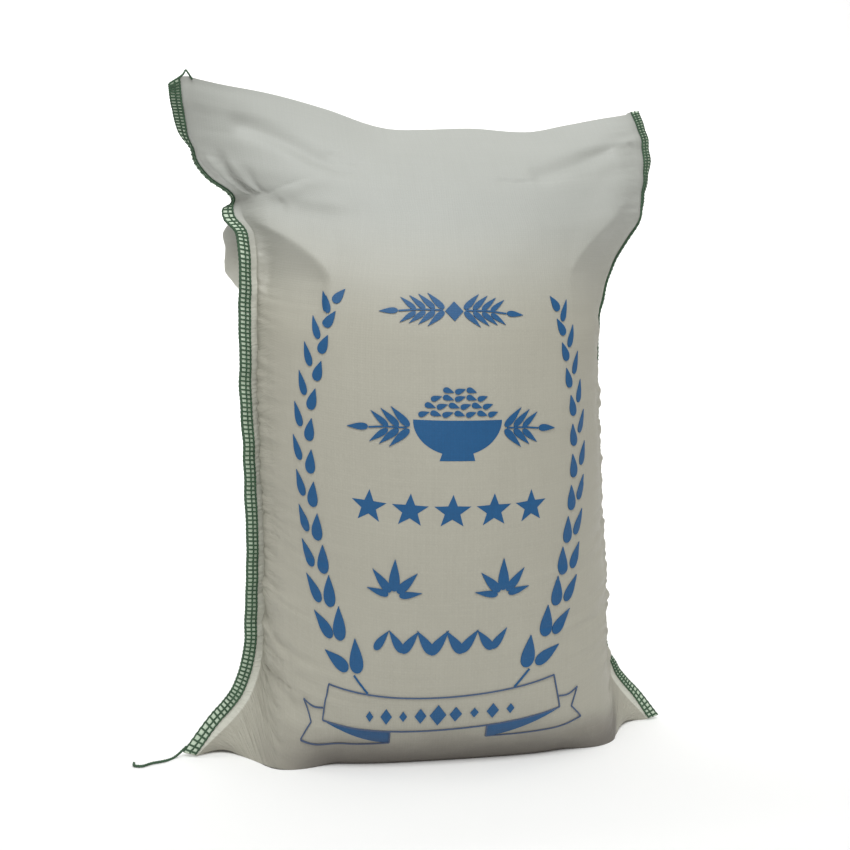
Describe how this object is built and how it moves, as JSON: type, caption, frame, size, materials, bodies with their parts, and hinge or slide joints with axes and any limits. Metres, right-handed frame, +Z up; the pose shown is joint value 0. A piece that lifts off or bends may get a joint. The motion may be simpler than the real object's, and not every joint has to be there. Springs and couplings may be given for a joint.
{
  "type": "sack of rice",
  "caption": "Filled woven sack of rice standing on its folded bottom, mouth closed flat, side seams overlocked in green and white thread.",
  "frame": {"origin": "on the floor, under the middle of the sack's flat foot", "axes": "+Z up, -Y out of the printed front, +X to the right when facing the front"},
  "size_m": [0.5499, 0.2378, 0.6706],
  "materials": {
    "woven_cloth": "woven off-white plastic tape with blue print",
    "seam_thread": "matt green and white twisted thread"
  },
  "bodies": {
    "root": {"sack": "woven_cloth", "left_overlock": "seam_thread", "right_overlock": "seam_thread", "thread_chain": "seam_thread"}
  },
  "joints": []
}
